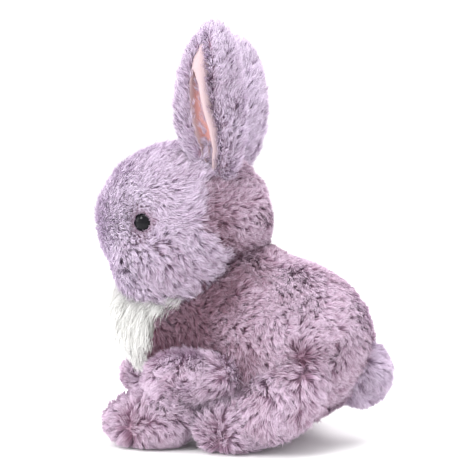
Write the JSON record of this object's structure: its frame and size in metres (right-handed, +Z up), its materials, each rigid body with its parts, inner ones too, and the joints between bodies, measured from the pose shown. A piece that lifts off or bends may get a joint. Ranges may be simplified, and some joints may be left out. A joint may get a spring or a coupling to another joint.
{
  "type": "stuffed bunny rabbit",
  "caption": "Sitting plush bunny in long-pile lilac fabric with upright lined ears, a white chest bib, black safety eyes, soft stuffed limbs and a ball tail.",
  "frame": {"origin": "on the floor, under the middle of the toy's bounding box", "axes": "+Z up, the bunny faces -Y, its left side is +X"},
  "size_m": [0.111, 0.1672, 0.2328],
  "materials": {
    "lilac_pile": "matte",
    "white_pile": "matte",
    "pink_lining": "matte",
    "filling": "matte",
    "bag_cloth": "matte",
    "eye_black": "gloss",
    "washer_plastic": "matte",
    "nose_thread": "matte"
  },
  "bodies": {
    "torso": {"body_panel_left": "lilac_pile", "body_panel_right": "lilac_pile", "chest_bib": "white_pile", "base_panel": "lilac_pile", "body_stuffing": "filling", "pellet_bag": "bag_cloth", "haunch_skin_left": "lilac_pile", "haunch_skin_right": "lilac_pile", "haunch_stuffing_left": "filling", "haunch_stuffing_right": "filling"},
    "neck": {"neck_stuffing": "filling"},
    "head": {"face_panel_left": "lilac_pile", "face_panel_right": "lilac_pile", "head_back_panel": "lilac_pile", "head_stuffing": "filling", "eye_left": "eye_black", "eye_right": "eye_black", "eye_washer_left": "washer_plastic", "eye_washer_right": "washer_plastic", "nose": "nose_thread"},
    "ear_left": {"ear_back_left": "lilac_pile", "ear_lining_left": "pink_lining"},
    "ear_right": {"ear_back_right": "lilac_pile", "ear_lining_right": "pink_lining"},
    "foreleg_left": {"foreleg_skin_left": "lilac_pile", "foreleg_stuffing_left": "filling"},
    "foreleg_right": {"foreleg_skin_right": "lilac_pile", "foreleg_stuffing_right": "filling"},
    "foot_left": {"foot_skin_left": "lilac_pile", "foot_stuffing_left": "filling"},
    "foot_right": {"foot_skin_right": "lilac_pile", "foot_stuffing_right": "filling"},
    "tail": {"tail_skin": "lilac_pile", "tail_stuffing": "filling"}
  },
  "joints": [
    {"name": "head_nod", "type": "hinge", "parent": "torso", "child": "neck", "pos_m": [0, -0.012, 0.095], "axis": [1, 0, 0], "range_deg": [-10, 4], "stiffness_Nm_per_rad": 1.2},
    {"name": "head_turn", "type": "hinge", "parent": "neck", "child": "head", "pos_m": [0, -0.012, 0.095], "axis": [0, -0.3419, 0.9397], "range_deg": [-30, 30], "stiffness_Nm_per_rad": 0.6},
    {"name": "ear_fold_left", "type": "hinge", "parent": "head", "child": "ear_left", "pos_m": [0.0205, -0.012, 0.1555], "axis": [-1, 0, 0], "range_deg": [-4, 45], "stiffness_Nm_per_rad": 0.06},
    {"name": "ear_fold_right", "type": "hinge", "parent": "head", "child": "ear_right", "pos_m": [-0.0205, -0.012, 0.1555], "axis": [-1, 0, 0], "range_deg": [-4, 40], "stiffness_Nm_per_rad": 0.06},
    {"name": "foreleg_swing_left", "type": "hinge", "parent": "torso", "child": "foreleg_left", "pos_m": [0.041, -0.009, 0.042], "axis": [-1, 0, 0], "range_deg": [0, 30], "stiffness_Nm_per_rad": 0.2},
    {"name": "foreleg_swing_right", "type": "hinge", "parent": "torso", "child": "foreleg_right", "pos_m": [-0.041, -0.009, 0.042], "axis": [-1, 0, 0], "range_deg": [-13, 17], "stiffness_Nm_per_rad": 0.2},
    {"name": "foot_flex_left", "type": "hinge", "parent": "torso", "child": "foot_left", "pos_m": [0.04, 0.008, 0.0135], "axis": [-1, 0, 0], "range_deg": [0, 9], "stiffness_Nm_per_rad": 0.15},
    {"name": "foot_flex_right", "type": "hinge", "parent": "torso", "child": "foot_right", "pos_m": [-0.04, 0.008, 0.0135], "axis": [-1, 0, 0], "range_deg": [0, 9], "stiffness_Nm_per_rad": 0.15},
    {"name": "tail_wag", "type": "hinge", "parent": "torso", "child": "tail", "pos_m": [0, 0.058, 0.038], "axis": [0, 0, 1], "range_deg": [-15, 15], "stiffness_Nm_per_rad": 0.08}
  ]
}
